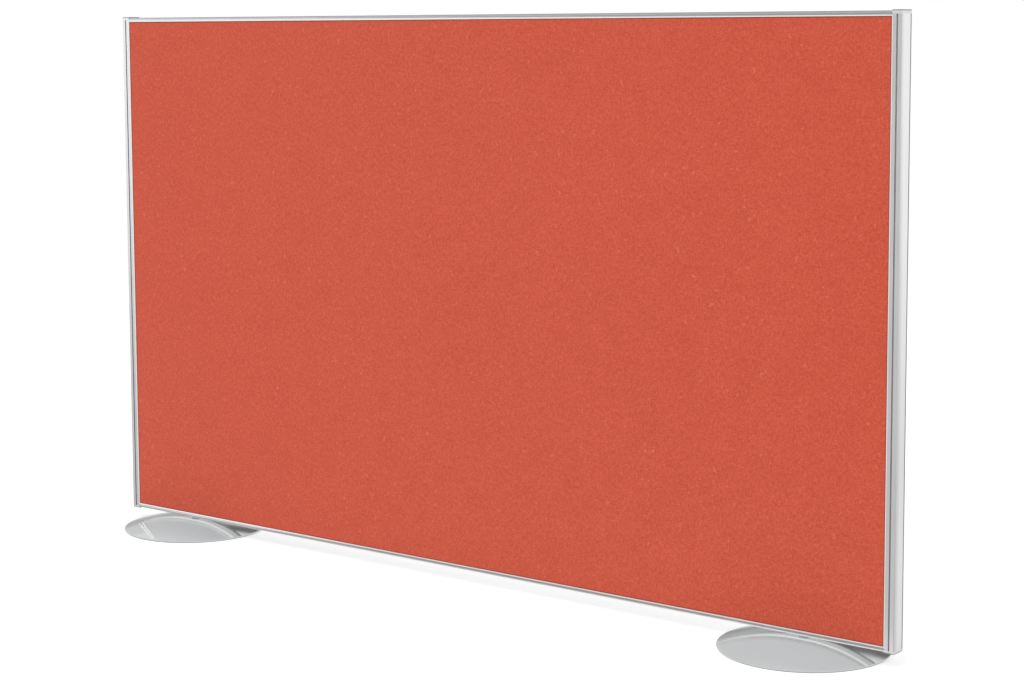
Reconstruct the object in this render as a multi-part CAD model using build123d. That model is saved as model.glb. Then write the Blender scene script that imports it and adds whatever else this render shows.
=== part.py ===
from build123d import *
import math
import os

# Office floor screen: one fabric-covered panel in a thin aluminium frame, on two domed disc feet.
# Millimetres. X runs along the panel, the front faces -Y, Z is up.
# The origin is on the floor, under the middle of the panel.

# Overall sizes
FRAME_WIDTH = 1800.0
FRAME_HEIGHT = 1025.0
FRAME_DEPTH = 30.0
FLOOR_GAP = 23.0

# Frame sections, shared by stiles and rails
LIP_THICKNESS = 1.4
LIP_BEVEL = 0.8
SECTION_WALL = 1.6

# Stiles: full-height end posts with a link groove in each face and a rounded nose
STILE_FACE = 20.0
STILE_CHANNEL = 6.3
NOSE_CROWN = 0.8
NOSE_RADIUS = 2.2
LINK_CENTRE = 9.6
LINK_WIDTH = 2.8
LINK_BULB_DEPTH = 4.7
LINK_BULB_RADIUS = 2.0

# Rails: plain channels butted between the stiles
RAIL_FACE = 8.5
RAIL_CHANNEL = 6.3
RAIL_RADIUS = 3.6
RAIL_LINE_CENTRE = 4.0
RAIL_LINE_WIDTH = 1.6
RAIL_LINE_DEPTH = 0.7

# Caps on the ends of the stiles
CAP_PROUD = 1.6
UPPER_CAP_COVER = 5.0
LOWER_CAP_COVER = 2.8
CAP_EDGE_RADIUS = 1.5
CAP_SPIGOT_LENGTH = 14.0

# Panel
PANEL_CLEARANCE = 0.5
FABRIC_THICKNESS = 1.0
BOARD_THICKNESS = 6.0
CORE_SETBACK = 11.0
BATTEN_WIDTH = 30.0

# Corner brackets and their screws
BRACKET_LEG = 34.0
BRACKET_THICKNESS = 3.0
BRACKET_SCREW_FROM_END = 11.0
SCREW_RADIUS = 2.0
SCREW_HEAD_RADIUS = 3.8
SCREW_HEAD_THICKNESS = 2.0
SCREW_TIP = 1.5

# Threaded plates over the feet
FOOT_INSET = 175.0
PLATE_LENGTH = 64.0
PLATE_THICKNESS = 9.0
PLATE_SCREW_SPREAD = 22.0
PLATE_SCREW_RADIUS = 2.5
PLATE_SCREW_HEAD_RADIUS = 4.7

# Feet: a spun dome over a ballast disc, on a rubber ring
FOOT_RADIUS = 145.0
RIM_HEIGHT = 2.4
RIM_FLANGE = 12.0
SHEET_THICKNESS = 1.5
SEAT_RADIUS = 16.0
PAD_THICKNESS = 1.0
PAD_INSET = 1.2
PAD_WIDTH = 9.0
BALLAST_LIFT = 2.6
BALLAST_THICKNESS = 5.0
BALLAST_CLEARANCE = 1.4
BOSS_COUNT = 3
BOSS_RADIUS = 5.0
BOSS_CIRCLE_SHARE = 0.74
BOSS_SCREW_RADIUS = 2.0
BOSS_SCREW_DEPTH = 4.0
BOSS_SCREW_HEAD_RADIUS = 4.6
BOSS_SCREW_HEAD_THICKNESS = 1.5
STUD_RADIUS = 4.0
STUD_HEAD_RADIUS = 12.0
STUD_HEAD_THICKNESS = 1.8
STUD_END = 2.0
NUT_ACROSS_FLATS = 13.0
NUT_THICKNESS = 4.0
SPACER_RADIUS = 7.0
COLLAR_RADIUS = 8.5
COLLAR_HEIGHT = 2.7
COLLAR_EDGE = 0.5

# Clearances
SEAT_GAP = 0.3
FIT_CLEARANCE = 0.05
HOLE_CLEARANCE = 0.4
SPIGOT_CLEARANCE = 0.15
CUT = 1.0

# Places worked out from the sizes
HALF_DEPTH = FRAME_DEPTH / 2
FRAME_TOP = FLOOR_GAP + FRAME_HEIGHT
FABRIC_EDGE = FRAME_WIDTH / 2 - STILE_FACE
FABRIC_BOTTOM = FLOOR_GAP + RAIL_FACE
FABRIC_TOP = FRAME_TOP - RAIL_FACE
RAIL_WEB = RAIL_FACE - RAIL_CHANNEL
LIP_INSIDE = HALF_DEPTH - LIP_THICKNESS
PANEL_EDGE = FABRIC_EDGE + STILE_CHANNEL - PANEL_CLEARANCE
PANEL_BOTTOM = FABRIC_BOTTOM - RAIL_CHANNEL + PANEL_CLEARANCE
PANEL_TOP = FABRIC_TOP + RAIL_CHANNEL - PANEL_CLEARANCE
BOARD_FRONT = LIP_INSIDE - FABRIC_THICKNESS
CORE_FACE = BOARD_FRONT - BOARD_THICKNESS
INSERT_FACE = CORE_FACE - HOLE_CLEARANCE
CORNER_X = FABRIC_EDGE + STILE_CHANNEL
CORNER_Z = FABRIC_TOP + RAIL_CHANNEL
BRACKET_SCREW_X = CORNER_X - BRACKET_LEG + BRACKET_SCREW_FROM_END
BRACKET_SCREW_Z = CORNER_Z - BRACKET_LEG + BRACKET_SCREW_FROM_END
FOOT_PLACE = FRAME_WIDTH / 2 - FOOT_INSET

# Heights in a foot
DOME_TOP = FLOOR_GAP - SEAT_GAP - COLLAR_HEIGHT
DOME_INSIDE = DOME_TOP - SHEET_THICKNESS
RIM_TOP = PAD_THICKNESS + RIM_HEIGHT
FLANGE_TOP = PAD_THICKNESS + SHEET_THICKNESS
BALLAST_TOP = BALLAST_LIFT + BALLAST_THICKNESS
DOME_DROP = DOME_TOP - RIM_TOP
DOME_REACH = FOOT_RADIUS - SEAT_RADIUS
DOME_CURVE = (DOME_REACH ** 2 + DOME_DROP ** 2) / (2 * DOME_DROP)


def block(x, y, z):
    """A box given by its low and high places along each axis."""
    size = [high - low for low, high in (x, y, z)]
    middle = [(high + low) / 2 for low, high in (x, y, z)]
    return Pos(*middle) * Box(*size)


def rod(radius, low, high):
    """An upright cylinder on the Z axis, between two heights."""
    return Pos(0, 0, (low + high) / 2) * Cylinder(radius, high - low)


def rectangle(x, y):
    """A flat rectangle given by its low and high places along each axis."""
    return Pos((x[0] + x[1]) / 2, (y[0] + y[1]) / 2) * Rectangle(x[1] - x[0], y[1] - y[0])


def countersunk(radius, head_radius, length):
    """A countersunk screw that points up, with the top of its head at the origin."""
    cone = head_radius - radius
    head = Pos(0, 0, cone / 2) * Cone(head_radius, radius, cone)
    return head + rod(radius, cone, length)


def round_headed(radius, head_radius, head_thickness, length):
    """A low-headed screw that points up, with its head just below the origin."""
    return rod(head_radius, -head_thickness, 0) + rod(radius, 0, length)


# Stile section, drawn from above: X from the fabric's visible edge out to the nose
def stile_outline():
    """Outer outline: straight lips, a slightly crowned nose with rounded corners."""
    shoulder = STILE_FACE - NOSE_CROWN
    sides = Polyline((shoulder, -HALF_DEPTH), (0, -HALF_DEPTH), (0, HALF_DEPTH), (shoulder, HALF_DEPTH))
    crown = ThreePointArc((shoulder, HALF_DEPTH), (STILE_FACE, 0), (shoulder, -HALF_DEPTH))
    outline = make_face(sides + crown)
    outline = chamfer(outline.vertices().group_by(Axis.X)[0], LIP_BEVEL)
    return fillet(outline.vertices().group_by(Axis.X)[-1], NOSE_RADIUS)


def stile_chamber(clearance=0):
    """The T-shaped hollow between the web and the nose, or what slides into it."""
    bulb_end = LINK_BULB_DEPTH + LINK_BULB_RADIUS
    neck_half = HALF_DEPTH - bulb_end - SECTION_WALL - clearance
    nose_half = HALF_DEPTH - SECTION_WALL - clearance
    web = STILE_CHANNEL + SECTION_WALL + clearance
    nose_start = LINK_CENTRE + LINK_BULB_RADIUS + SECTION_WALL / 2 + clearance
    nose_end = STILE_FACE - NOSE_CROWN - SECTION_WALL - clearance
    neck = rectangle((web, nose_end), (-neck_half, neck_half))
    return neck + rectangle((nose_start, nose_end), (-nose_half, nose_half))


def link_groove(side):
    """The keyhole groove that a linking strip slides into, on the front or the rear face."""
    bulb_place = side * (HALF_DEPTH - LINK_BULB_DEPTH)
    half = LINK_WIDTH / 2
    mouth_places = sorted((bulb_place, side * (HALF_DEPTH + CUT)))
    mouth = rectangle((LINK_CENTRE - half, LINK_CENTRE + half), mouth_places)
    return mouth + Pos(LINK_CENTRE, bulb_place) * Circle(LINK_BULB_RADIUS)


def stile_channel():
    """The channel that takes the edge of the panel."""
    return rectangle((-CUT, STILE_CHANNEL), (-LIP_INSIDE, LIP_INSIDE))


def stile(side):
    section = stile_outline() - stile_channel() - stile_chamber()
    section = section - link_groove(1) - link_groove(-1)
    low = FLOOR_GAP + LOWER_CAP_COVER
    length = FRAME_HEIGHT - LOWER_CAP_COVER - UPPER_CAP_COVER
    post = Pos(FABRIC_EDGE, 0, low) * extrude(section, length)
    hole = Rot(0, 90, 0) * rod(SCREW_RADIUS + FIT_CLEARANCE, -CUT, SECTION_WALL + CUT)
    hole = Pos(CORNER_X, 0, BRACKET_SCREW_Z) * hole
    post = post - hole - to_end(hole, -1)
    return to_side(post, side)


def to_side(shape, side):
    """What is drawn on the right stays there, or is mirrored to the left."""
    return shape if side > 0 else mirror(shape, about=Plane.YZ)


def to_end(shape, end):
    """What is drawn at the top stays there, or is mirrored to the bottom of the frame."""
    middle = FLOOR_GAP + FRAME_HEIGHT / 2
    return shape if end > 0 else mirror(shape, about=Plane.XY.offset(middle))


def stile_cap(side, end):
    """A moulded cap that carries on the stile's outline and closes its grooves."""
    cover = UPPER_CAP_COVER if end > 0 else LOWER_CAP_COVER
    body = extrude(stile_outline(), cover + CAP_PROUD)
    free_edges = body.edges().group_by(Axis.Z)[-1].sort_by(Axis.X)[1:]
    body = fillet(free_edges, CAP_EDGE_RADIUS)
    recess_top = cover - RAIL_WEB
    body = body - extrude(stile_channel(), recess_top)
    spigot = extrude(stile_chamber(SPIGOT_CLEARANCE), -CAP_SPIGOT_LENGTH)
    cap = Pos(FABRIC_EDGE, 0, FRAME_TOP - cover) * (body + spigot)
    return to_side(to_end(cap, end), side)


# Rail section, drawn with X along the depth and Y out from the fabric's visible edge
def rail_section():
    section = rectangle((-HALF_DEPTH, HALF_DEPTH), (0, RAIL_FACE))
    section = chamfer(section.vertices().group_by(Axis.Y)[0], LIP_BEVEL)
    section = fillet(section.vertices().group_by(Axis.Y)[-1], RAIL_RADIUS)
    section = section - rectangle((-LIP_INSIDE, LIP_INSIDE), (-CUT, RAIL_CHANNEL))
    half_line = RAIL_LINE_WIDTH / 2
    line_floor = HALF_DEPTH - RAIL_LINE_DEPTH
    heights = (RAIL_LINE_CENTRE - half_line, RAIL_LINE_CENTRE + half_line)
    front = rectangle((-HALF_DEPTH - CUT, -line_floor), heights)
    rear = rectangle((line_floor, HALF_DEPTH + CUT), heights)
    return section - front - rear


def rail(end):
    """A rail between the stiles, drawn at the top, with holes for its bracket screws."""
    plane = Plane(origin=(-FABRIC_EDGE, 0, FABRIC_TOP), x_dir=(0, 1, 0), z_dir=(1, 0, 0))
    bar = extrude(plane * rail_section(), 2 * FABRIC_EDGE)
    head = Rot(180, 0, 0) * hole_for_countersunk(SCREW_RADIUS, SCREW_HEAD_RADIUS)
    head = Pos(BRACKET_SCREW_X, 0, FRAME_TOP) * head
    bar = to_end(bar - head - to_side(head, -1), end)
    if end < 0:
        for side in (1, -1):
            bar = bar - Pos(side * FOOT_PLACE, 0, 0) * rod(STUD_RADIUS + HOLE_CLEARANCE, 0, FABRIC_BOTTOM)
            for offset in (PLATE_SCREW_SPREAD, -PLATE_SCREW_SPREAD):
                head = hole_for_countersunk(PLATE_SCREW_RADIUS, PLATE_SCREW_HEAD_RADIUS)
                bar = bar - Pos(side * FOOT_PLACE + offset, 0, FLOOR_GAP) * head
    return bar


def hole_for_countersunk(radius, head_radius):
    """The hole in a web that a countersunk screw sits flush in."""
    wide = head_radius + FIT_CLEARANCE
    narrow = radius + FIT_CLEARANCE
    cone = Pos(0, 0, (wide - narrow) / 2) * Cone(wide, narrow, wide - narrow)
    return cone + rod(wide, -CUT, 0) + rod(narrow, 0, RAIL_WEB + CUT)


# Panel layers, from the faces in: fabric, pin board, battens round a honeycomb slab
def fabric(side):
    """A cover drawn over a board's face and round its four edges; side -1 is the front."""
    face = side * LIP_INSIDE
    back = side * CORE_FACE
    pocket = side * BOARD_FRONT
    inset = FABRIC_THICKNESS
    whole = block((-PANEL_EDGE, PANEL_EDGE), sorted((face, back)), (PANEL_BOTTOM, PANEL_TOP))
    inner_z = (PANEL_BOTTOM + inset, PANEL_TOP - inset)
    inner_x = (inset - PANEL_EDGE, PANEL_EDGE - inset)
    return whole - block(inner_x, sorted((pocket, back - side * CUT)), inner_z)


def board(side):
    places = sorted((side * BOARD_FRONT, side * CORE_FACE))
    edge = PANEL_EDGE - FABRIC_THICKNESS
    return block((-edge, edge), places, (PANEL_BOTTOM + FABRIC_THICKNESS, PANEL_TOP - FABRIC_THICKNESS))


def core_places():
    """Outer edge, bottom and top of the battens, set back to leave room for the fittings."""
    return PANEL_EDGE - CORE_SETBACK, PANEL_BOTTOM + CORE_SETBACK, PANEL_TOP - CORE_SETBACK


def side_batten(side):
    edge, bottom, top = core_places()
    heights = (bottom + BATTEN_WIDTH, top - BATTEN_WIDTH)
    return to_side(block((edge - BATTEN_WIDTH, edge), (-CORE_FACE, CORE_FACE), heights), side)


def cross_batten(end):
    edge, bottom, top = core_places()
    heights = (top - BATTEN_WIDTH, top) if end > 0 else (bottom, bottom + BATTEN_WIDTH)
    return block((-edge, edge), (-CORE_FACE, CORE_FACE), heights)


def honeycomb_slab():
    edge, bottom, top = core_places()
    inner = edge - BATTEN_WIDTH
    return block((-inner, inner), (-CORE_FACE, CORE_FACE), (bottom + BATTEN_WIDTH, top - BATTEN_WIDTH))


# Corner brackets and their screws, drawn at the top right corner
def bracket(side, end):
    depth = (-INSERT_FACE, INSERT_FACE)
    flat = block((CORNER_X - BRACKET_LEG, CORNER_X), depth, (CORNER_Z - BRACKET_THICKNESS, CORNER_Z))
    upright = block((CORNER_X - BRACKET_THICKNESS, CORNER_X), depth, (CORNER_Z - BRACKET_LEG, CORNER_Z))
    hole = rod(SCREW_RADIUS + FIT_CLEARANCE, -BRACKET_THICKNESS - CUT, CUT)
    angle = flat + upright - Pos(BRACKET_SCREW_X, 0, CORNER_Z) * hole
    angle = angle - Pos(CORNER_X, 0, BRACKET_SCREW_Z) * Rot(0, 90, 0) * hole
    return to_side(to_end(angle, end), side)


def in_corners(shape):
    """A piece drawn at the top right corner of the frame, there and in the other corners."""
    return [to_side(to_end(shape, end), side) for side in (1, -1) for end in (1, -1)]


def bracket_stile_screws():
    """A screw through each bracket's upright leg into the stile's web."""
    length = BRACKET_THICKNESS + SECTION_WALL + SCREW_TIP
    screw = Rot(0, 90, 0) * round_headed(SCREW_RADIUS, SCREW_HEAD_RADIUS, SCREW_HEAD_THICKNESS, length)
    return in_corners(Pos(CORNER_X - BRACKET_THICKNESS, 0, BRACKET_SCREW_Z) * screw)


def bracket_rail_screws():
    """A countersunk screw through each end of a rail into the bracket's flat leg."""
    length = RAIL_WEB + BRACKET_THICKNESS + SCREW_TIP
    screw = Rot(180, 0, 0) * countersunk(SCREW_RADIUS, SCREW_HEAD_RADIUS, length)
    return in_corners(Pos(BRACKET_SCREW_X, 0, FRAME_TOP) * screw)


# Threaded plates in the bottom rail, over the feet
def foot_plate(side):
    low = FLOOR_GAP + RAIL_WEB
    half = PLATE_LENGTH / 2
    plate = block((-half, half), (-INSERT_FACE, INSERT_FACE), (low, low + PLATE_THICKNESS))
    plate = plate - rod(STUD_RADIUS + FIT_CLEARANCE, low - CUT, low + PLATE_THICKNESS + CUT)
    for offset in (PLATE_SCREW_SPREAD, -PLATE_SCREW_SPREAD):
        hole = rod(PLATE_SCREW_RADIUS + FIT_CLEARANCE, low - CUT, low + PLATE_THICKNESS + CUT)
        plate = plate - Pos(offset, 0, 0) * hole
    return Pos(side * FOOT_PLACE, 0, 0) * plate


def foot_plate_screws():
    screw = countersunk(PLATE_SCREW_RADIUS, PLATE_SCREW_HEAD_RADIUS, RAIL_WEB + PLATE_THICKNESS)
    offsets = (PLATE_SCREW_SPREAD, -PLATE_SCREW_SPREAD)
    return [Pos(side * FOOT_PLACE + offset, 0, FLOOR_GAP) * screw for side in (1, -1) for offset in offsets]


# Feet, drawn round the Z axis and then put under the rail
def dome_reach_at(height, inward):
    """How far out the dome's outer surface, moved inward by a thickness, is at a height."""
    below_centre = height - (DOME_TOP - DOME_CURVE)
    return SEAT_RADIUS + math.sqrt((DOME_CURVE - inward) ** 2 - below_centre ** 2)


def dome_height_at(reach, inward):
    """How high the dome's outer surface, moved inward by a thickness, is at a distance out."""
    rise = math.sqrt((DOME_CURVE - inward) ** 2 - (reach - SEAT_RADIUS) ** 2)
    return DOME_TOP - DOME_CURVE + rise


def dome_solid(inward, edge, base):
    """All under the dome's surface, moved inward by a thickness, out to where it is at an edge height."""
    top = DOME_TOP - inward
    reach = dome_reach_at(edge, inward)
    middle = (SEAT_RADIUS + reach) / 2
    seat = (SEAT_RADIUS, 0, top)
    curve = ThreePointArc((reach, 0, edge), (middle, 0, dome_height_at(middle, inward)), seat)
    rest = Polyline(seat, (0, 0, top), (0, 0, base), (reach, 0, base), (reach, 0, edge))
    return revolve(make_face(curve + rest), Axis.Z)


def dome_hollow():
    """The space inside the dome, above its flange."""
    edge = FLANGE_TOP + SHEET_THICKNESS
    return dome_solid(SHEET_THICKNESS, edge, FLANGE_TOP)


def foot_cover():
    """The spun dome: flat seat in the middle, shallow curve, and a flange turned in at the rim."""
    shell = dome_solid(0, RIM_TOP, PAD_THICKNESS) - dome_hollow()
    shell = shell - rod(FOOT_RADIUS - RIM_FLANGE, PAD_THICKNESS - CUT, FLANGE_TOP + CUT)
    return shell - rod(STUD_RADIUS + FIT_CLEARANCE, DOME_INSIDE - CUT, DOME_TOP + CUT)


def ballast_radius():
    """The disc reaches out until its top edge comes near the dome."""
    return dome_reach_at(BALLAST_TOP + BALLAST_CLEARANCE, SHEET_THICKNESS)


def around_foot(shape):
    """Copies of a piece at the bosses, evenly spaced round the foot."""
    circle = BOSS_CIRCLE_SHARE * ballast_radius()
    return [Rot(0, 0, turn * 360 / BOSS_COUNT) * Pos(0, -circle, 0) * shape for turn in range(BOSS_COUNT)]


def foot_ballast():
    disc = rod(ballast_radius(), BALLAST_LIFT, BALLAST_TOP)
    disc = disc - rod(STUD_RADIUS + FIT_CLEARANCE, 0, BALLAST_TOP + CUT)
    for hole in around_foot(rod(BOSS_SCREW_RADIUS + FIT_CLEARANCE, 0, BALLAST_TOP + CUT)):
        disc = disc - hole
    return disc


def foot_bosses():
    """Short pillars from the ballast disc up to the inside of the dome."""
    hole = rod(BOSS_SCREW_RADIUS + FIT_CLEARANCE, BALLAST_TOP - CUT, BALLAST_TOP + BOSS_SCREW_DEPTH)
    pillar = rod(BOSS_RADIUS, BALLAST_TOP, DOME_TOP) - hole
    return [boss & dome_hollow() for boss in around_foot(pillar)]


def foot_boss_screws():
    length = BALLAST_THICKNESS + BOSS_SCREW_DEPTH
    screw = round_headed(BOSS_SCREW_RADIUS, BOSS_SCREW_HEAD_RADIUS, BOSS_SCREW_HEAD_THICKNESS, length)
    return around_foot(Pos(0, 0, BALLAST_LIFT) * screw)


def foot_pad():
    outer = FOOT_RADIUS - PAD_INSET
    return rod(outer, 0, PAD_THICKNESS) - rod(outer - PAD_WIDTH, -CUT, PAD_THICKNESS + CUT)


def foot_stud():
    """A threaded stud with a wide, flat head under the ballast disc."""
    top = FLOOR_GAP + RAIL_WEB + PLATE_THICKNESS + STUD_END
    head = rod(STUD_HEAD_RADIUS, BALLAST_LIFT - STUD_HEAD_THICKNESS, BALLAST_LIFT)
    shank = rod(STUD_RADIUS, BALLAST_LIFT, top)
    return head + chamfer(shank.edges().group_by(Axis.Z)[-1], COLLAR_EDGE)


def foot_nut():
    """A thin hexagon nut that clamps the ballast disc to the stud's head."""
    hexagon = extrude(RegularPolygon(NUT_ACROSS_FLATS / 2, 6, major_radius=False), NUT_THICKNESS)
    nut = Pos(0, 0, BALLAST_TOP) * hexagon
    return nut - rod(STUD_RADIUS + FIT_CLEARANCE, BALLAST_TOP - CUT, DOME_TOP)


def foot_spacer():
    """The tube that holds up the dome's seat."""
    low = BALLAST_TOP + NUT_THICKNESS
    return rod(SPACER_RADIUS, low, DOME_INSIDE) - rod(STUD_RADIUS + FIT_CLEARANCE, low - CUT, DOME_TOP)


def foot_collar():
    """The round nut that clamps the dome down and stands just under the rail."""
    body = rod(COLLAR_RADIUS, DOME_TOP, DOME_TOP + COLLAR_HEIGHT)
    body = chamfer(body.edges().group_by(Axis.Z)[-1], COLLAR_EDGE)
    return body - rod(STUD_RADIUS + FIT_CLEARANCE, DOME_TOP - CUT, FLOOR_GAP)


FOOT_PIECES = {
    "cover": foot_cover,
    "ballast": foot_ballast,
    "bosses": foot_bosses,
    "boss_screws": foot_boss_screws,
    "pad": foot_pad,
    "stud": foot_stud,
    "nut": foot_nut,
    "spacer": foot_spacer,
    "collar": foot_collar,
}


def all_pieces():
    """Every node of the screen by name: one solid, or a list of like ones."""
    pieces = {
        "front_fabric": fabric(-1),
        "rear_fabric": fabric(1),
        "front_board": board(-1),
        "rear_board": board(1),
        "honeycomb_core": honeycomb_slab(),
        "top_rail": rail(1),
        "bottom_rail": rail(-1),
        "top_batten": cross_batten(1),
        "bottom_batten": cross_batten(-1),
        "bracket_stile_screws": bracket_stile_screws(),
        "bracket_rail_screws": bracket_rail_screws(),
        "foot_plate_screws": foot_plate_screws(),
    }
    for side, side_name in ((-1, "left"), (1, "right")):
        pieces[f"{side_name}_stile"] = stile(side)
        pieces[f"{side_name}_batten"] = side_batten(side)
        pieces[f"{side_name}_foot_plate"] = foot_plate(side)
        for end, end_name in ((1, "top"), (-1, "bottom")):
            pieces[f"{end_name}_{side_name}_cap"] = stile_cap(side, end)
            pieces[f"{end_name}_{side_name}_bracket"] = bracket(side, end)
        for piece_name, make in FOOT_PIECES.items():
            made = make()
            copies = made if isinstance(made, list) else [made]
            placed = [Pos(side * FOOT_PLACE, 0, 0) * one for one in copies]
            pieces[f"{side_name}_foot_{piece_name}"] = placed
    return pieces


os.makedirs("parts", exist_ok=True)
for node, shape in all_pieces().items():
    members = shape if isinstance(shape, list) else [shape]
    solids = [solid for member in members for solid in member.solids()]
    whole = solids[0] if len(solids) == 1 else Compound(children=solids)
    export_step(whole, f"parts/{node}.step")
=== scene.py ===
import math

import bmesh
import bpy
from mathutils import Matrix, Vector


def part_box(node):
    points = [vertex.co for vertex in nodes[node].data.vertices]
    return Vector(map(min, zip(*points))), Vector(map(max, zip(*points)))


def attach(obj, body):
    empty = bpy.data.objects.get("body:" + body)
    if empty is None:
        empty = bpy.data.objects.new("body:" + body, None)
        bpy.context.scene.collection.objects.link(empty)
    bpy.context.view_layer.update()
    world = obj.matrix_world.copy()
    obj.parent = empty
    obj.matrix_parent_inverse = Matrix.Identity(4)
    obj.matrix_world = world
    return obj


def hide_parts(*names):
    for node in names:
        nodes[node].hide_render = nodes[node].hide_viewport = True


# Office floor screen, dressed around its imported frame. Metres; the front faces -Y, Z is up.
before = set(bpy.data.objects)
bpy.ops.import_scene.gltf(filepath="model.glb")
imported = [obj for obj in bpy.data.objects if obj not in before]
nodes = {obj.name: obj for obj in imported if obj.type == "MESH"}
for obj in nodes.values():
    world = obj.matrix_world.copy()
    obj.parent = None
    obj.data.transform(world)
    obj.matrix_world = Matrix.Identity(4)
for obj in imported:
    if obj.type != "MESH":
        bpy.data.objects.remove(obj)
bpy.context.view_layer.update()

MM = 0.001

# The photograph's camera, worked out from the fabric's corners and the round feet
PICTURE_WIDTH = 1024
PICTURE_HEIGHT = 683
SENSOR_WIDTH_MM = 36.0
FOCAL_PIXELS = 2167.5
AXIS_PIXEL = 255.06
CAMERA_YAW = 0.66879
CAMERA_PITCH = 0.10362
CAMERA_ROLL = -0.00425
CAMERA_SPOT = (2.5212, -3.0491, 1.0205)
CAMERA_REACH = 100.0

# The fabric's visible edges, where the rails and stiles begin
FABRIC_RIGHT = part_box("top_rail")[1].x
FABRIC_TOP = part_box("top_rail")[0].z
FABRIC_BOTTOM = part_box("bottom_rail")[1].z
FABRIC_HEIGHT = FABRIC_TOP - FABRIC_BOTTOM
FABRIC_MIDDLE = (FABRIC_TOP + FABRIC_BOTTOM) / 2

# The frame's outer side and its rear
FRAME_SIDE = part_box("right_stile")[1].x
FRAME_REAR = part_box("right_stile")[1].y

# The outer ends of the caps on the stiles
CAPS_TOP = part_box("top_right_cap")[1].z
CAPS_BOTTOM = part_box("bottom_right_cap")[0].z
CAPS_REACH = (CAPS_TOP - CAPS_BOTTOM) / 2
CAPS_MIDDLE = (CAPS_TOP + CAPS_BOTTOM) / 2

# The curve between a screen's values and linear light
SCREEN_WHITE = 255
DARK_END = 0.04045
DARK_SLOPE = 12.92
CURVE_OFFSET = 0.055
CURVE_POWER = 2.4


def linear(red, green, blue):
    """A colour written as 0 to 255 screen values, as the linear light that shaders take."""
    light = []
    for value in (red, green, blue):
        share = value / SCREEN_WHITE
        if share <= DARK_END:
            light.append(share / DARK_SLOPE)
        else:
            light.append(((share + CURVE_OFFSET) / (1 + CURVE_OFFSET)) ** CURVE_POWER)
    return (*light, 1.0)


class Value:
    """A socket of a shader, so that sums of numbers read as plain maths."""

    def __init__(self, shader, socket):
        self.shader = shader
        self.socket = socket

    def _with(self, operation, first, second=None):
        inputs = {0: first}
        if second is not None:
            inputs[1] = second
        return self.shader.node("ShaderNodeMath", inputs, operation=operation)

    def __add__(self, other):
        return self._with("ADD", self, other)

    def __radd__(self, other):
        return self._with("ADD", other, self)

    def __sub__(self, other):
        return self._with("SUBTRACT", self, other)

    def __rsub__(self, other):
        return self._with("SUBTRACT", other, self)

    def __mul__(self, other):
        return self._with("MULTIPLY", self, other)

    def __rmul__(self, other):
        return self._with("MULTIPLY", other, self)

    def __abs__(self):
        return self._with("ABSOLUTE", self)

    def sine(self):
        return self._with("SINE", self)

    def least(self, other):
        return self._with("MINIMUM", self, other)

    def most(self, other):
        return self._with("MAXIMUM", self, other)

    def ramp(self, low, high, start=0.0, end=1.0):
        """Goes smoothly from start to end while this value goes from low to high."""
        inputs = {0: self, 1: low, 2: high, 3: start, 4: end}
        return self.shader.node("ShaderNodeMapRange", inputs, interpolation_type="SMOOTHSTEP")


class Shader:
    """The node tree of one material or of the world."""

    def __init__(self, tree, output):
        self.tree = tree
        tree.nodes.clear()
        self.end = tree.nodes.new(output)

    def node(self, kind, inputs=None, out=0, **settings):
        """Adds a node: first its settings, then the values or links of its sockets."""
        made = self.tree.nodes.new(kind)
        for name, setting in settings.items():
            setattr(made, name, setting)
        for name, given in (inputs or {}).items():
            if isinstance(given, Value):
                self.tree.links.new(given.socket, made.inputs[name])
            else:
                made.inputs[name].default_value = given
        return Value(self, made.outputs[out])

    def place(self):
        """The point on the piece, in metres, in the piece's own frame."""
        return self.node("ShaderNodeTexCoord", out="Object")

    def parts(self, vector):
        return [self.node("ShaderNodeSeparateXYZ", {0: vector}, out=axis) for axis in range(3)]

    def stretched(self, vector, scale):
        return self.node("ShaderNodeVectorMath", {0: vector, 1: scale}, operation="MULTIPLY")

    def noise(self, vector, scale, detail=2.0, roughness=0.5):
        inputs = {"Vector": vector, "Scale": scale, "Detail": detail, "Roughness": roughness}
        return self.node("ShaderNodeTexNoise", inputs)

    def mix(self, factor, first, second):
        return self.node("ShaderNodeMix", {0: factor, 6: first, 7: second}, out=2, data_type="RGBA")

    def bump(self, height, strength, depth):
        return self.node("ShaderNodeBump", {"Strength": strength, "Distance": depth, "Height": height})

    def ray(self, fact):
        """A fact about the ray that meets the surface, such as whether a shiny surface sent it."""
        return self.node("ShaderNodeLightPath", out=fact)

    def shown(self):
        """1 where the surface is seen, mirrored or behind glass, and 0 where it only gives light."""
        seen = self.ray("Is Camera Ray").most(self.ray("Is Glossy Ray"))
        return seen.most(self.ray("Is Transmission Ray"))

    def surface(self, shader):
        self.tree.links.new(shader.socket, self.end.inputs["Surface"])

    def principled(self, **inputs):
        """The surface as one Principled shader. An underscore stands for a space in a socket's name."""
        named = {name.replace("_", " "): value for name, value in inputs.items()}
        self.surface(self.node("ShaderNodeBsdfPrincipled", named))


def new_material(name):
    material = bpy.data.materials.new(name)
    material.use_nodes = True
    return material, Shader(material.node_tree, "ShaderNodeOutputMaterial")


# The cloth's finish, and the painted shade where it tucks in
YARN_PITCH = 1.5 * MM
CORAL = linear(208, 88, 65)
CORAL_DEEP = linear(198, 80, 58)
CORAL_LIGHT = linear(217, 97, 74)
CORAL_FLECK = linear(234, 126, 104)
FLECK_STRENGTH = 0.34
TUCK_SHADE = linear(132, 72, 60)
TUCK_SHADE_REACH = 3.2 * MM
TUCK_SHADE_STRENGTH = 0.8

# Painted reflection: where shiny surfaces mirror the cloth it is painted pale, palest high up and on the
# right
MIRRORED_LOW = linear(231, 231, 231)
MIRRORED_HIGH = linear(254, 254, 254)
PALER_UPWARD = (30 * MM, 190 * MM)
PALER_RIGHTWARD = (0.1, 0.8)
PALENESS_ON_RIGHT = 0.65

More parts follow.
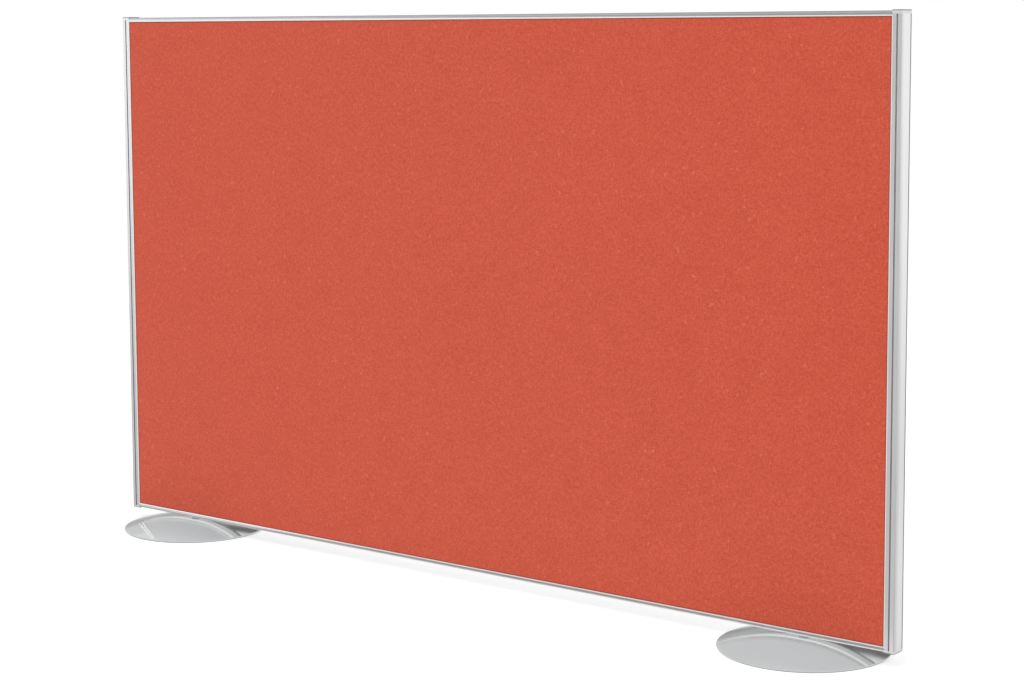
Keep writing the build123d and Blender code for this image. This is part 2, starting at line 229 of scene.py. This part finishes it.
# How far from the cloth the light that it throws loses its colour
COLOR_CARRIES = (10 * MM, 60 * MM)


def coral_cloth():
    """Wool-like cloth: plain weave, mottled yarn, a few pale flecks, and painted shade where it tucks in.

    Where it is mirrored it is painted pale, a painted reflection, and so is the light that it throws on
    anything further off.
    """
    material, s = new_material("coral_cloth")
    place = s.place()
    x, _, z = s.parts(place)
    warp = (x * (math.pi / YARN_PITCH)).sine()
    weft = (z * (math.pi / YARN_PITCH)).sine()
    weave = abs(warp) * 0.5 + abs(weft) * 0.5
    yarn = s.noise(s.stretched(place, (1.0, 1.0, 2.2)), 260.0, 2.0, 0.55)
    slub = s.noise(s.stretched(place, (2.4, 1.0, 0.8)), 150.0, 1.0)
    cloud = s.noise(place, 26.0, 2.0)
    drift = s.noise(place, 3.2, 2.0)
    tone = yarn * 0.56 + slub * 0.31 + cloud * 0.09 + drift * 0.04
    color = s.mix(tone.ramp(0.38, 0.5), CORAL_DEEP, CORAL)
    color = s.mix(tone.ramp(0.5, 0.62), color, CORAL_LIGHT)
    fleck = s.noise(place, 120.0, 1.0, 0.4).ramp(0.70, 0.78)
    color = s.mix(fleck * FLECK_STRENGTH, color, CORAL_FLECK)
    across = FABRIC_RIGHT - abs(x)
    along = FABRIC_HEIGHT / 2 - abs(z - FABRIC_MIDDLE)
    # Painted shade along the edges where the cloth tucks under the lips
    tuck = 1 - across.least(along).ramp(0.0, TUCK_SHADE_REACH)
    color = s.mix(tuck * TUCK_SHADE_STRENGTH, color, TUCK_SHADE)
    bounced_far = s.ray("Is Diffuse Ray") * s.ray("Ray Length").ramp(*COLOR_CARRIES)
    paleness = z.ramp(*PALER_UPWARD).most(x.ramp(*PALER_RIGHTWARD, 0.0, PALENESS_ON_RIGHT))
    pale = s.mix(paleness, MIRRORED_LOW, MIRRORED_HIGH)
    # Painted reflection: mirrors and far bounces see the pale colour
    color = s.mix(s.ray("Is Glossy Ray").most(bounced_far), color, pale)
    normal = s.bump(weave * 0.6 + yarn * 0.4, 0.35, 0.35 * MM)
    s.principled(Base_Color=color, Roughness=0.92, Specular_IOR_Level=0.12,
                 Sheen_Weight=0.12, Sheen_Roughness=0.5, Normal=normal)
    return material


# The frame's finish. Ranges on rails and lips are distances out from the fabric's edge.
DIE_STRETCH = 0.012
SILVER_DEEP = linear(225, 225, 225)
SILVER_PALE = linear(236, 236, 235)
STILE_SATIN = 0.31
RAIL_SATIN = 0.48
SATIN_SPREAD = 0.04
# Painted highlight: the lips along the cloth are painted near-white and made less metallic
LIP_PAINTED_HIGHLIGHT = linear(250, 248, 247)
LIP_MATT = 0.85
LIP_ENDS = (1.4 * MM, 1.8 * MM)

# The painted shade along a rail's narrow face, which widens to the right, between these places in X
RAIL_SHADE = linear(168, 168, 171)
RAIL_SHADE_STRENGTH = 0.88
RAIL_SHADE_BEGINS = (1.8 * MM, 2.4 * MM)
RAIL_SHADE_SHIFT = 2.8 * MM
RAIL_SHADE_ENDS = (4.8 * MM, 5.8 * MM)
TOP_SHADE_WIDENS = (-0.8, 0.7)
BOTTOM_SHADE_WIDENS = (-0.75, -0.1)
BOTTOM_RIGHT_LIP_HIGHLIGHT = linear(224, 212, 208)
TOP_FROM_BOTTOM = (FABRIC_MIDDLE - 10 * MM, FABRIC_MIDDLE + 10 * MM)

# A stile's side, which starts this far out in X and has painted shade over these depths at its front, and
# a painted highlight further back
SIDE_PAINTED_SHADE = linear(197, 197, 198)
SIDE_PAINTED_HIGHLIGHT = linear(243, 243, 243)
SIDE_STRENGTH = 0.6
SIDE_BEGINS = (FRAME_SIDE - 2.6 * MM, FRAME_SIDE - 2.0 * MM)
FRONT_DEPTHS = (-FRAME_REAR, -3 * MM)
HIGHER_UP = (0.55, 1.0)
SHINE_REACHES_FORWARD = 5 * MM

# The painted shade line along a stile's rear edge
EDGE_PAINTED_SHADE = linear(118, 118, 119)
EDGE_SIDE = (FRAME_SIDE - 0.9 * MM, FRAME_SIDE - 0.4 * MM)
EDGE_DEPTHS = (FRAME_REAR - 5.4 * MM, FRAME_REAR - 4.8 * MM)


def rail_tones(s, base, x, z, beyond):
    """A rail's colour and its lip's. Its narrow face has painted shade, as though shaded by the lip,
    which mirrors don't show.

    On the right of the bottom rail the painted shade ends before the rail's lower edge, and the lip's
    painted highlight is dimmer and pinker.
    """
    above = z.ramp(*TOP_FROM_BOTTOM)
    below = 1 - above
    rightward = x.ramp(*TOP_SHADE_WIDENS) * above + x.ramp(*BOTTOM_SHADE_WIDENS) * below
    outer_edge = beyond.ramp(*RAIL_SHADE_ENDS) * below * rightward
    inner_edge = beyond - (1 - rightward) * RAIL_SHADE_SHIFT
    unmirrored = 1 - s.ray("Is Glossy Ray")
    shaded = (inner_edge.ramp(*RAIL_SHADE_BEGINS) - outer_edge) * unmirrored
    base = s.mix(shaded * RAIL_SHADE_STRENGTH, base, RAIL_SHADE)
    lip_highlight = s.mix(rightward * below, LIP_PAINTED_HIGHLIGHT, BOTTOM_RIGHT_LIP_HIGHLIGHT)
    return base, lip_highlight


def stile_tones(s, base, x, y, z):
    """A stile's colour. Its side has a painted shade line at its rear edge, and painted shade at its
    front, most of all low down, with a painted highlight behind.
    """
    side = abs(x).ramp(*SIDE_BEGINS)
    back = y + z.ramp(*HIGHER_UP) * SHINE_REACHES_FORWARD
    tone = s.mix(back.ramp(*FRONT_DEPTHS), SIDE_PAINTED_SHADE, SIDE_PAINTED_HIGHLIGHT)
    base = s.mix(side * SIDE_STRENGTH, base, tone)
    edge = abs(x).ramp(*EDGE_SIDE) * y.ramp(*EDGE_DEPTHS)
    return s.mix(edge, base, EDGE_PAINTED_SHADE)


def satin_aluminium(name, grain, satin, is_rail):
    """Anodised extrusion: fine die lines along its length, and a painted highlight on the lips along the
    cloth.
    """
    material, s = new_material(name)
    place = s.place()
    x, y, z = s.parts(place)
    lines = s.noise(s.stretched(place, grain), 1600.0, 2.0, 0.6)
    cloud = s.noise(place, 9.0, 2.0)
    base = s.mix(lines * 0.6 + cloud * 0.4, SILVER_DEEP, SILVER_PALE)
    beyond = (abs(x) - FABRIC_RIGHT).most(abs(z - FABRIC_MIDDLE) - FABRIC_HEIGHT / 2)
    if is_rail:
        base, lip_highlight = rail_tones(s, base, x, z, beyond)
    else:
        base, lip_highlight = stile_tones(s, base, x, y, z), LIP_PAINTED_HIGHLIGHT
    # Painted highlight along the lips
    lip = 1 - beyond.ramp(*LIP_ENDS)
    base = s.mix(lip, base, lip_highlight)
    roughness = cloud.ramp(0.3, 0.7, satin - SATIN_SPREAD, satin + SATIN_SPREAD)
    s.principled(Base_Color=base, Metallic=1 - lip * LIP_MATT, Roughness=roughness,
                 Normal=s.bump(lines, 0.12, 0.05 * MM))
    return material


# Painted shade round the outer ends of the caps
CAP_END_PAINTED_SHADE = linear(128, 128, 130)
CAP_END_STRENGTH = 0.8
CAP_END_BEGINS = (CAPS_REACH - 2.2 * MM, CAPS_REACH - 1.6 * MM)


def moulded_cap():
    """Silver-grey moulded plastic with a fine spark-eroded grain, and painted shade round its outer end.
    """
    material, s = new_material("moulded_cap")
    place = s.place()
    grain = s.noise(place, 2200.0, 2.0)
    base = s.mix(grain, linear(224, 224, 224), linear(235, 235, 234))
    z = s.parts(place)[2]
    end = abs(z - CAPS_MIDDLE).ramp(*CAP_END_BEGINS)
    base = s.mix(end * CAP_END_STRENGTH, base, CAP_END_PAINTED_SHADE)
    s.principled(Base_Color=base, Metallic=0.6, Roughness=0.36, Normal=s.bump(grain, 0.15, 0.04 * MM))
    return material


def silver_dome():
    """Glossy silver paint with fine flakes on a spun dome, its gloss slightly uneven."""
    material, s = new_material("silver_dome")
    place = s.place()
    ripple = s.noise(place, 14.0, 2.0)
    flake = s.noise(place, 2600.0, 1.0)
    base = s.mix(flake, linear(200, 201, 202), linear(213, 214, 215))
    roughness = ripple.ramp(0.3, 0.7, 0.10, 0.14)
    s.principled(Base_Color=base, Metallic=0.94, Roughness=roughness,
                 Normal=s.bump(ripple, 0.05, 0.1 * MM))
    return material


def zinc_steel():
    """Bright zinc plating with a fine crystalline cloud."""
    material, s = new_material("zinc_steel")
    cloud = s.noise(s.place(), 180.0, 3.0)
    base = s.mix(cloud, linear(168, 171, 173), linear(205, 207, 208))
    s.principled(Base_Color=base, Metallic=1.0, Roughness=cloud.ramp(0.3, 0.7, 0.28, 0.42))
    return material


def foot_rubber():
    """Black rubber with a fine dull grain."""
    material, s = new_material("foot_rubber")
    grain = s.noise(s.place(), 1500.0, 3.0)
    base = s.mix(grain, linear(34, 34, 35), linear(58, 58, 60))
    s.principled(Base_Color=base, Roughness=0.75, Normal=s.bump(grain, 0.3, 0.08 * MM))
    return material


def pin_board():
    """Pressed wood fibre: short pale and dark fibres in a flat mat."""
    material, s = new_material("pin_board")
    fibre = s.noise(s.stretched(s.place(), (1.0, 3.0, 1.0)), 320.0, 4.0, 0.65)
    base = s.mix(fibre.ramp(0.3, 0.7), linear(120, 94, 66), linear(186, 156, 118))
    s.principled(Base_Color=base, Roughness=0.9, Normal=s.bump(fibre, 0.5, 0.3 * MM))
    return material


def honeycomb_card():
    """Brown card with the print of its cells."""
    material, s = new_material("honeycomb_card")
    place = s.place()
    cell = s.node("ShaderNodeTexVoronoi", {"Vector": place, "Scale": 80.0}, feature="DISTANCE_TO_EDGE")
    fibre = s.noise(place, 700.0, 3.0)
    tone = cell.ramp(0.0, 0.12) * 0.7 + fibre * 0.3
    base = s.mix(tone, linear(128, 100, 68), linear(196, 168, 128))
    s.principled(Base_Color=base, Roughness=0.9, Normal=s.bump(tone, 0.4, 0.5 * MM))
    return material


def pine_batten(name, grain):
    """Sawn pine with its grain along the batten."""
    material, s = new_material(name)
    rings = s.noise(s.stretched(s.place(), grain), 140.0, 3.0, 0.6)
    base = s.mix(rings.ramp(0.35, 0.65), linear(176, 134, 84), linear(221, 188, 140))
    s.principled(Base_Color=base, Roughness=0.7, Normal=s.bump(rings, 0.4, 0.2 * MM))
    return material


PINE_STRETCH = 0.04


def finish_nodes(zinc):
    """Gives every carried-over piece of the frame its finish."""
    upright = satin_aluminium("satin_aluminium_upright", (1.0, 1.0, DIE_STRETCH), STILE_SATIN, False)
    level = satin_aluminium("satin_aluminium_level", (DIE_STRETCH, 1.0, 1.0), RAIL_SATIN, True)
    pine_level = pine_batten("pine_level", (PINE_STRETCH, 1.0, 1.0))
    pine_upright = pine_batten("pine_upright", (1.0, 1.0, PINE_STRETCH))
    board = pin_board()
    finishes = {
        "left_stile": upright, "right_stile": upright,
        "top_rail": level, "bottom_rail": level,
        "top_batten": pine_level, "bottom_batten": pine_level,
        "left_batten": pine_upright, "right_batten": pine_upright,
        "front_board": board, "rear_board": board,
        "honeycomb_core": honeycomb_card(),
    }
    endings = {"_cap": moulded_cap(), "_cover": silver_dome(), "_pad": foot_rubber()}
    for name, piece in nodes.items():
        ending = next((finish for end, finish in endings.items() if name.endswith(end)), zinc)
        piece.data.materials.clear()
        piece.data.materials.append(finishes.get(name, ending))


def new_piece(name, made, smooth=False):
    """Turns a bmesh into an object of the scene."""
    mesh = bpy.data.meshes.new(name)
    made.to_mesh(mesh)
    made.free()
    if smooth:
        mesh.polygons.foreach_set("use_smooth", [True] * len(mesh.polygons))
    piece = bpy.data.objects.new(name, mesh)
    bpy.context.scene.collection.objects.link(piece)
    return piece


def apply_modifiers(piece):
    graph = bpy.context.evaluated_depsgraph_get()
    solid = bpy.data.meshes.new_from_object(piece.evaluated_get(graph))
    piece.modifiers.clear()
    piece.data = solid


# The cloth's shape
CLOTH_THICKNESS = 0.9 * MM
TUCK_DEPTH = 0.4 * MM
TUCK_REACH = 4.0 * MM
TUCK_SHARES = (1.0, 0.66, 0.33)
CLOTH_ROUND = 1.2 * MM
CLOTH_ROUND_STEPS = 4
CLOTH_STEP = 60 * MM


def cloth_lines(half, hidden, flap):
    """Where the cloth's grid lines are: distances along it from its middle, to the ends of both flaps."""
    visible = half - hidden
    count = round(visible / CLOTH_STEP)
    lines = [visible * i / count for i in range(count)]
    lines += [visible - TUCK_REACH * share for share in TUCK_SHARES]
    lines += [visible, visible + hidden / 2, half - CLOTH_ROUND]
    for i in range(1, CLOTH_ROUND_STEPS + 1):
        lines.append(half - CLOTH_ROUND + CLOTH_ROUND * math.pi / 2 * i / CLOTH_ROUND_STEPS)
    end = lines[-1]
    lines += [end + (flap - CLOTH_ROUND) / 2, end + flap - CLOTH_ROUND]
    return [-line for line in reversed(lines[1:])] + lines


def wrapped(place, half):
    """Where a point at this distance along the cloth ends up: out along the face, and back."""
    sign = -1 if place < 0 else 1
    flat = half - CLOTH_ROUND
    past = abs(place) - flat
    if past <= 0:
        return place, 0.0
    turn = past / CLOTH_ROUND
    if turn <= math.pi / 2:
        return sign * (flat + CLOTH_ROUND * math.sin(turn)), CLOTH_ROUND * (1 - math.cos(turn))
    return sign * half, CLOTH_ROUND + past - CLOTH_ROUND * math.pi / 2


def cloth_mesh(columns, rows, half_width, half_height, face, middle, side):
    """The cloth's outer surface. Its corners are left out where both flaps would meet."""
    made = bmesh.new()
    grid = {}
    for i, across in enumerate(columns):
        x, back_x = wrapped(across, half_width)
        for j, up in enumerate(rows):
            z, back_z = wrapped(up, half_height)
            if back_x > CLOTH_ROUND and back_z > CLOTH_ROUND:
                continue
            inside = min(FABRIC_RIGHT - abs(x), FABRIC_HEIGHT / 2 - abs(z))
            share = min(max(1 - inside / TUCK_REACH, 0.0), 1.0)
            depth = TUCK_DEPTH * share * share * (3 - 2 * share)
            back = max(depth, back_x, back_z)
            grid[i, j] = made.verts.new((x, face - side * back, middle + z))
    for i in range(len(columns) - 1):
        for j in range(len(rows) - 1):
            corners = [(i, j), (i + 1, j), (i + 1, j + 1), (i, j + 1)]
            if all(corner in grid for corner in corners):
                order = corners if side < 0 else corners[::-1]
                made.faces.new([grid[corner] for corner in order])
    return made


def cloth_cover(name, node, side):
    """One face's cloth: stretched flat, tucked under the frame's lips and wrapped round the board.

    The side is -1 for the front and 1 for the rear.
    """
    low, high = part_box(node)
    face = low.y if side < 0 else high.y
    flap = high.y - low.y
    half_width = high.x
    half_height = (high.z - low.z) / 2
    middle = (high.z + low.z) / 2
    columns = cloth_lines(half_width, half_width - FABRIC_RIGHT, flap)
    rows = cloth_lines(half_height, half_height - FABRIC_HEIGHT / 2, flap)
    made = cloth_mesh(columns, rows, half_width, half_height, face, middle, side)
    piece = new_piece(name, made, smooth=True)
    thick = piece.modifiers.new("thickness", "SOLIDIFY")
    thick.thickness = CLOTH_THICKNESS
    thick.offset = -1.0
    apply_modifiers(piece)
    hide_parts(node)
    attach(piece, "screen")
    2 * columns[-1]
    2 * rows[-1]
    return piece


# Fasteners, turned with a hexagon socket in the head
TURN_POINTS = 24
SCREW_THREAD = 0.9 * MM
STUD_THREAD = 1.25 * MM
THREAD_DEPTH = 0.3
HEAD_EDGE = 0.2 * MM
PLAIN_NECK = 1 * MM
RAIL_SCREW_LENGTH = 6.7 * MM
BOSS_HEAD = 1.5 * MM
BOSS_HEAD_RADIUS = 4.6 * MM
BOSS_SCREWS = 3
STUD_HEAD = 1.8 * MM


def thread(radius, start, end, rise):
    """A thread's crests and roots, as radius and distance from the face of the head."""
    count = int((end - start) / rise)
    first = end - count * rise
    ridges = [(radius, start), (radius, first)]
    for turn in range(count):
        ridges.append((radius - THREAD_DEPTH * rise, first + (turn + 0.5) * rise))
        ridges.append((radius, first + (turn + 1) * rise))
    return ridges


def socket_reach(angle, key):
    """How far the wall of a hexagon socket is from its middle, where key is to its flats."""
    side = math.pi / 3
    return key / math.cos((angle + side / 2) % side - side / 2)


def add_fastener(made, spot, facing, outline, key, key_depth):
    """One fastener that stands along Z, with the face of its head at spot, up (1) or down (-1)."""
    angles = [2 * math.pi * i / TURN_POINTS for i in range(TURN_POINTS)]
    socket = [socket_reach(angle, key) for angle in angles]
    rings = [(socket, key_depth), (socket, 0.0)]
    rings += [([radius] * TURN_POINTS, back) for radius, back in outline]
    x, y, z = spot
    loops = []
    for radii, back in rings:
        level = z - facing * back
        loops.append([
            made.verts.new((x + radius * math.cos(angle), y + radius * math.sin(angle), level))
            for angle, radius in zip(angles, radii)
        ])
    for inner, outer in zip(loops, loops[1:]):
        for i in range(TURN_POINTS):
            j = (i + 1) % TURN_POINTS
            made.faces.new((inner[i], inner[j], outer[j], outer[i]))
    made.faces.new(loops[0])
    made.faces.new(loops[-1])


def countersunk(radius, head_radius, length):
    """A countersunk screw's outline, as radius and distance from the face of its head."""
    outline = [(head_radius - 2 * HEAD_EDGE, 0.0), (head_radius - HEAD_EDGE, HEAD_EDGE)]
    outline += thread(radius, head_radius - radius, length - radius / 2, SCREW_THREAD)
    return outline + [(radius / 2, length)]


def low_headed(radius, head_radius, head, length, rise):
    """The outline of a screw or stud with a low round head, as radius and distance from its face."""
    outline = [(head_radius - head / 2, 0.0), (head_radius - head / 6, head / 5)]
    outline += [(head_radius, head / 2), (head_radius, head), (radius, head)]
    outline += thread(radius, head + PLAIN_NECK, length - radius / 3, rise)
    return outline + [(radius * 0.7, length)]


def fastener_piece(name, node, body, spots, outline, key, key_depth):
    """One node's fasteners: spots holds the place of each head's face and the way it faces."""
    made = bmesh.new()
    for spot, facing in spots:
        add_fastener(made, spot, facing, outline, key, key_depth)
    bmesh.ops.recalc_face_normals(made, faces=made.faces[:])
    piece = new_piece(name, made)
    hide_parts(node)
    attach(piece, body)
    return piece


def rail_screws():
    """Countersunk screws through the rails' ends into the corner brackets."""
    low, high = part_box("bracket_rail_screws")
    x = high.x - high.y
    spots = [((side * x, 0.0, high.z), 1) for side in (-1, 1)]
    spots += [((side * x, 0.0, low.z), -1) for side in (-1, 1)]
    outline = countersunk(2.0 * MM, high.y, RAIL_SCREW_LENGTH)
    return fastener_piece("rail_screws", "bracket_rail_screws", "screen", spots, outline,
                          key=1.25 * MM, key_depth=1.2 * MM)


def plate_screws():
    """Countersunk screws, two for each foot, up through the bottom rail into the foot's plate."""
    low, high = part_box("foot_plate_screws")
    plate_low, plate_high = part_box("right_foot_plate")
    middle = (plate_low.x + plate_high.x) / 2
    spread = high.x - high.y - middle
    places = [side * middle + offset for side in (-1, 1) for offset in (-spread, spread)]
    spots = [((x, 0.0, low.z), -1) for x in places]
    outline = countersunk(2.5 * MM, high.y, high.z - low.z)
    return fastener_piece("plate_screws", "foot_plate_screws", "screen", spots, outline,
                          key=1.5 * MM, key_depth=1.5 * MM)


def boss_screws(side, middle):
    """A foot's low-headed screws, up through its ballast disc into the dome's bosses."""
    node = side + "_foot_boss_screws"
    low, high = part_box(node)
    reach = -low.y - BOSS_HEAD_RADIUS
    spots = []
    for turn in range(BOSS_SCREWS):
        angle = math.radians(120 * turn - 90)
        spots.append(((middle + reach * math.cos(angle), reach * math.sin(angle), low.z), -1))
    outline = low_headed(2.0 * MM, BOSS_HEAD_RADIUS, BOSS_HEAD, high.z - low.z, SCREW_THREAD)
    return fastener_piece(side + "_boss_screws", node, side + "_foot", spots, outline,
                          key=1.5 * MM, key_depth=1.0 * MM)


def foot_stud(side, middle):
    """A foot's threaded stud, with a low round head under the ballast disc."""
    node = side + "_foot_stud"
    low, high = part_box(node)
    outline = low_headed(4.0 * MM, high.y, STUD_HEAD, high.z - low.z, STUD_THREAD)
    return fastener_piece(side + "_stud", node, side + "_foot", [((middle, 0.0, low.z), -1)], outline,
                          key=2.5 * MM, key_depth=1.3 * MM)


def foot_across(side):
    """A foot's middle in X, and its width."""
    low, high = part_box(side + "_foot_cover")
    return (low.x + high.x) / 2, high.x - low.x


def build_camera():
    """The photograph's view. The optical axis meets the picture above its middle, hence the shift."""
    camera = bpy.data.cameras.new("camera")
    camera.sensor_width = SENSOR_WIDTH_MM
    camera.lens = FOCAL_PIXELS * SENSOR_WIDTH_MM / PICTURE_WIDTH
    camera.shift_y = (AXIS_PIXEL - PICTURE_HEIGHT / 2) / PICTURE_WIDTH
    camera.clip_end = CAMERA_REACH
    holder = bpy.data.objects.new("camera", camera)
    yaw_sine, yaw_cosine = math.sin(CAMERA_YAW), math.cos(CAMERA_YAW)
    pitch_sine, pitch_cosine = math.sin(CAMERA_PITCH), math.cos(CAMERA_PITCH)
    right = Vector((yaw_cosine, yaw_sine, 0.0))
    up = Vector((-yaw_sine * pitch_sine, yaw_cosine * pitch_sine, pitch_cosine))
    roll_sine, roll_cosine = math.sin(CAMERA_ROLL), math.cos(CAMERA_ROLL)
    picture_right = roll_cosine * right + roll_sine * up
    picture_up = roll_cosine * up - roll_sine * right
    back = picture_right.cross(picture_up)
    turn = Matrix((picture_right, picture_up, back)).transposed().to_4x4()
    holder.matrix_world = Matrix.Translation(CAMERA_SPOT) @ turn
    bpy.context.scene.collection.objects.link(holder)
    bpy.context.scene.camera = holder


# Floor, world and lamp. The floor fades to plain white between these distances from the middle.
FLOOR_FADES = (1.6, 6.0)
FLOOR_REACH = 40.0
FLOOR_EDGES = 64
FLOOR_DEEP = linear(218, 218, 218)
FLOOR_PALE = linear(222, 222, 222)
FLOOR_GLOW = 0.395
WORLD_LIGHT = 0.92
WHITE = (1, 1, 1, 1)


def build_floor():
    """A plain pale floor that keeps soft shadows, and turns plain white away from the screen."""
    made = bmesh.new()
    bmesh.ops.create_circle(made, cap_ends=True, radius=FLOOR_REACH, segments=FLOOR_EDGES)
    floor = new_piece("floor", made)
    material, s = new_material("pale_floor")
    place = s.place()
    base = s.mix(s.noise(place, 300.0, 2.0), FLOOR_DEEP, FLOOR_PALE)
    matt = s.node("ShaderNodeBsdfDiffuse", {"Color": base})
    strength = s.ray("Is Camera Ray").most(s.ray("Is Transmission Ray")) * FLOOR_GLOW
    glow = s.node("ShaderNodeEmission", {"Color": WHITE, "Strength": strength})
    near = s.node("ShaderNodeAddShader", {0: matt, 1: glow})
    white = s.node("ShaderNodeEmission", {"Color": WHITE, "Strength": 1.0})
    away = s.node("ShaderNodeVectorMath", {0: place}, out="Value", operation="LENGTH")
    faded = s.node("ShaderNodeMixShader", {0: away.ramp(*FLOOR_FADES), 1: near, 2: white})
    s.surface(s.node("ShaderNodeMixShader", {0: s.shown(), 1: matt, 2: faded}))
    floor.data.materials.append(material)


def build_world():
    """Even studio light from all round, and plain white where it is seen or mirrored."""
    world = bpy.data.worlds.new("studio")
    world.use_nodes = True
    bpy.context.scene.world = world
    s = Shader(world.node_tree, "ShaderNodeOutputWorld")
    light = s.node("ShaderNodeBackground", {"Color": WHITE, "Strength": WORLD_LIGHT})
    white = s.node("ShaderNodeBackground", {"Color": WHITE, "Strength": 1.0})
    s.surface(s.node("ShaderNodeMixShader", {0: s.shown(), 1: light, 2: white}))


def add_lamp(name, azimuth, elevation, power, softness):
    """A distant soft light from this direction, in degrees from +X towards +Y and up."""
    lamp = bpy.data.lights.new(name, "SUN")
    lamp.energy = power
    lamp.angle = math.radians(softness)
    holder = bpy.data.objects.new(name, lamp)
    across, up = math.radians(azimuth), math.radians(elevation)
    source = Vector((math.cos(across) * math.cos(up), math.sin(across) * math.cos(up), math.sin(up)))
    holder.rotation_euler = source.to_track_quat("Z", "Y").to_euler()
    bpy.context.scene.collection.objects.link(holder)


def add_card(name, spot, aim, width, height, brightness, steps=(), lean=0.0):
    """A studio card that only shiny surfaces show, where a brightness of 1 is white.

    Each step is where it starts, where it ends and how much it adds, on the way from the card's foot
    at 0 to its top at 1. They lean by this much over the card's width.
    """
    made = bmesh.new()
    bmesh.ops.create_grid(made, x_segments=1, y_segments=1, size=0.5)
    card = new_piece(name, made)
    card.scale = (width, height, 1.0)
    card.location = spot
    card.rotation_euler = (Vector(aim) - Vector(spot)).to_track_quat("Z", "Y").to_euler()
    card.visible_camera = False
    card.visible_diffuse = False
    card.visible_shadow = False
    card.visible_transmission = False
    material, s = new_material(name)
    across, up, _ = s.parts(s.place())
    height_share = up + 0.5 + across * lean
    strength = brightness
    for start, end, change in steps:
        strength = height_share.ramp(start, end) * change + strength
    shade = s.node("ShaderNodeCombineColor", {0: strength, 1: strength, 2: strength})
    s.surface(s.node("ShaderNodeEmission", {"Color": shade, "Strength": 1.0}))
    card.data.materials.append(material)


def add_level_card(name, x, y, z, facing, width, depth, brightness):
    """A studio card that lies level and faces up (1) or down (-1)."""
    add_card(name, (x, y, z), (x, y, z + facing), width, depth, brightness)


# Cards on the floor lie this far above it, those round the feet on top
FLOOR_LIFT = 0.4 * MM
RIM_LIFT = 0.6 * MM
RIM_MARGIN = 25 * MM
UNDER_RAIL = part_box("bottom_rail")[0].z - 0.2 * MM
BACK_STEPS = ((0.0, 0.15, 0.18), (0.4, 0.6, -0.41), (0.67, 0.80, 0.83))
BACK_LEAN = 0.58
LEFT_STEPS = ((0.2, 0.6, 0.3),)


def build_cards():
    """The studio that the metal mirrors, from the ceiling down to the gap under the bottom rail."""
    add_level_card("ceiling_card", 0.0, 0.0, 2.7, -1, 5.0, 5.0, 0.62)
    add_card("front_card", (-0.5, -1.9, 0.55), (-0.5, -1.5, 1.57), 3.6, 3.0, 0.62)
    add_level_card("floor_card", 0.0, -0.34, FLOOR_LIFT, 1, 3.0, 0.62, 0.62)
    add_card("front_top_card", (-0.5, -3.4, 1.6), (-0.5, 0.0, 1.6), 3.6, 1.0, 0.5)
    for side in ("left", "right"):
        middle, width = foot_across(side)
        reach = width + 2 * RIM_MARGIN
        add_level_card(side + "_rim_card", middle, 0.0, RIM_LIFT, 1, reach, reach, 0.95)
    add_level_card("side_card", 1.36, 0.5, FLOOR_LIFT, 1, 0.85, 1.3, 0.86)
    add_level_card("back_floor_card", -0.95, 2.85, FLOOR_LIFT, 1, 3.7, 4.2, 0.35)
    add_card("window_card", (-8.6, -7.0, 5.9), (0.0, 0.0, 1.0), 6.5, 7.0, 2.0)
    add_card("back_card", (-2.3, 5.0, 2.1), (-2.3, 0.0, 2.1), 8.0, 4.2, 0.35, BACK_STEPS, BACK_LEAN)
    add_card("left_card", (-8.4, 5.0, 2.2), (-8.4, 0.0, 2.2), 4.2, 4.4, 0.52, LEFT_STEPS)
    # Glowing cards just under the bottom rail, a painted reflection: the feet mirror them as the rail's
    # bright underside
    add_level_card("under_card_front", 0.0, -0.0122, UNDER_RAIL, -1, 1.78, 0.0074, 1.05)
    add_level_card("under_card", 0.0, -0.0015, UNDER_RAIL, -1, 1.78, 0.014, 0.68)


zinc = zinc_steel()
finish_nodes(zinc)
covers = [
    cloth_cover("front_cloth", "front_fabric", -1),
    cloth_cover("rear_cloth", "rear_fabric", 1),
]
cloth = coral_cloth()
for cover in covers:
    cover.data.materials.append(cloth)
fasteners = [rail_screws(), plate_screws()]
for side in ("left", "right"):
    middle, _ = foot_across(side)
    fasteners += [boss_screws(side, middle), foot_stud(side, middle)]
for piece in fasteners:
    piece.data.materials.append(zinc)

build_camera()
build_floor()
build_world()
add_lamp("key", azimuth=-118, elevation=50, power=0.6, softness=50)
build_cards()
bpy.context.scene.view_settings.view_transform = "Standard"
